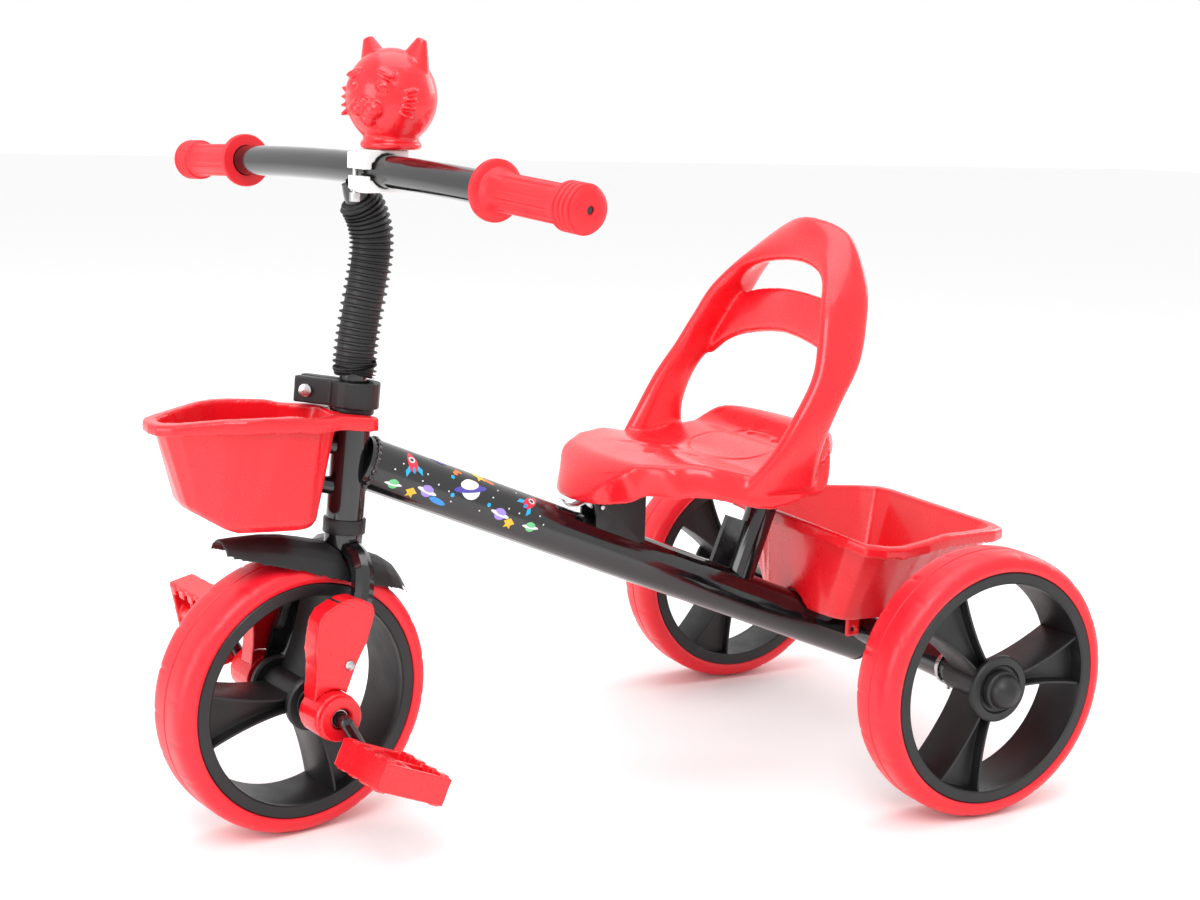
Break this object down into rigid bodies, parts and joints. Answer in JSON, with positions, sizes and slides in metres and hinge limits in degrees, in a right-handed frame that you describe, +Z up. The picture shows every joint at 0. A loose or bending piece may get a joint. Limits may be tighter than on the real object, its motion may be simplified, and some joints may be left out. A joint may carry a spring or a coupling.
{
  "type": "tricycle",
  "caption": "Children's pedal tricycle with a steel beam frame, moulded seat with a looped back, front and rear baskets and a squeaker bell.",
  "frame": {"origin": "middle of the bounding box in plan, at the lowest point of the tyres", "axes": "+Z up, the rider faces -Y, +X is the rider's left"},
  "size_m": [0.5586, 0.734, 0.6071],
  "materials": {
    "red_plastic": "glossy moulded",
    "red_tyre": "satin moulded",
    "red_grip": "satin",
    "black_plastic": "satin",
    "black_paint": "gloss paint",
    "white_plastic": "satin",
    "zinc": "zinc plated"
  },
  "bodies": {
    "frame": {"axle_cap_left": "black_plastic", "axle_cap_right": "black_plastic", "frame": "black_paint", "beam_end_cap": "black_plastic", "rear_axle": "zinc", "axle_clip_left": "zinc", "axle_clip_right": "zinc", "headset_lower_ring": "black_plastic", "headset_upper_ring": "black_plastic", "seat": "red_plastic", "seat_bracket": "black_paint", "bracket_bolt": "zinc", "clip_pin": "zinc", "seat_screw_left": "zinc", "seat_screw_right": "zinc", "seat_screw_front": "zinc", "front_basket": "red_plastic", "front_basket_screw_lower": "zinc", "front_basket_screw_upper": "zinc", "rear_basket": "red_plastic", "rear_basket_bolt": "zinc"},
    "steering": {"fork": "black_paint", "mudguard": "black_plastic", "leg_cover_left": "red_plastic", "cover_screw_left": "zinc", "axle_housing_left": "red_plastic", "leg_cover_right": "red_plastic", "cover_screw_right": "zinc", "axle_housing_right": "red_plastic", "handlebar": "black_paint", "stem_sleeve": "black_plastic", "stem_clamp": "black_paint", "clamp_bolt": "zinc", "grip_left": "red_grip", "grip_right": "red_grip", "bell_head": "red_plastic", "bell_clamp_upper": "white_plastic", "bell_clamp_lower": "white_plastic", "bell_screw": "white_plastic"},
    "front_wheel_and_crank": {"front_wheel": "black_plastic", "front_tyre": "red_tyre", "crank_axle": "black_paint", "split_ring_left": "zinc", "split_ring_right": "zinc"},
    "pedal_left": {"pedal_left": "red_plastic"},
    "pedal_right": {"pedal_right": "red_plastic"},
    "rear_wheel_left": {"rear_wheel_left": "black_plastic", "rear_tyre_left": "red_tyre"},
    "rear_wheel_right": {"rear_wheel_right": "black_plastic", "rear_tyre_right": "red_tyre"},
    "seat_clip": {"seat_clip": "zinc"}
  },
  "joints": [
    {"name": "steering_turn", "type": "hinge", "parent": "frame", "child": "steering", "pos_m": [-0.00222, -0.2253, 0.10748], "axis": [0, 0.0767, 0.9971], "range_deg": [-56.25, 33.75]},
    {"name": "front_wheel_spin", "type": "hinge", "parent": "steering", "child": "front_wheel_and_crank", "pos_m": [0.00433, -0.25836, 0.10743], "axis": [0.9808, 0.1945, -0.015], "continuous": true},
    {"name": "pedal_left_spin", "type": "hinge", "parent": "front_wheel_and_crank", "child": "pedal_left", "pos_m": [0.07856, -0.22626, 0.07682], "axis": [0.9808, 0.1945, -0.015], "continuous": true},
    {"name": "pedal_right_spin", "type": "hinge", "parent": "front_wheel_and_crank", "child": "pedal_right", "pos_m": [-0.06989, -0.29045, 0.13804], "axis": [0.9808, 0.1945, -0.015], "continuous": true},
    {"name": "rear_wheel_left_spin", "type": "hinge", "parent": "frame", "child": "rear_wheel_left", "pos_m": [0.19328, 0.257, 0.11028], "axis": [1, 0, 0], "continuous": true},
    {"name": "rear_wheel_right_spin", "type": "hinge", "parent": "frame", "child": "rear_wheel_right", "pos_m": [-0.19772, 0.257, 0.11028], "axis": [1, 0, 0], "continuous": true},
    {"name": "seat_clip_lift", "type": "hinge", "parent": "frame", "child": "seat_clip", "pos_m": [-0.00222, 0.001, 0.23528], "axis": [1, 0, 0], "range_deg": [-8, 0]}
  ]
}
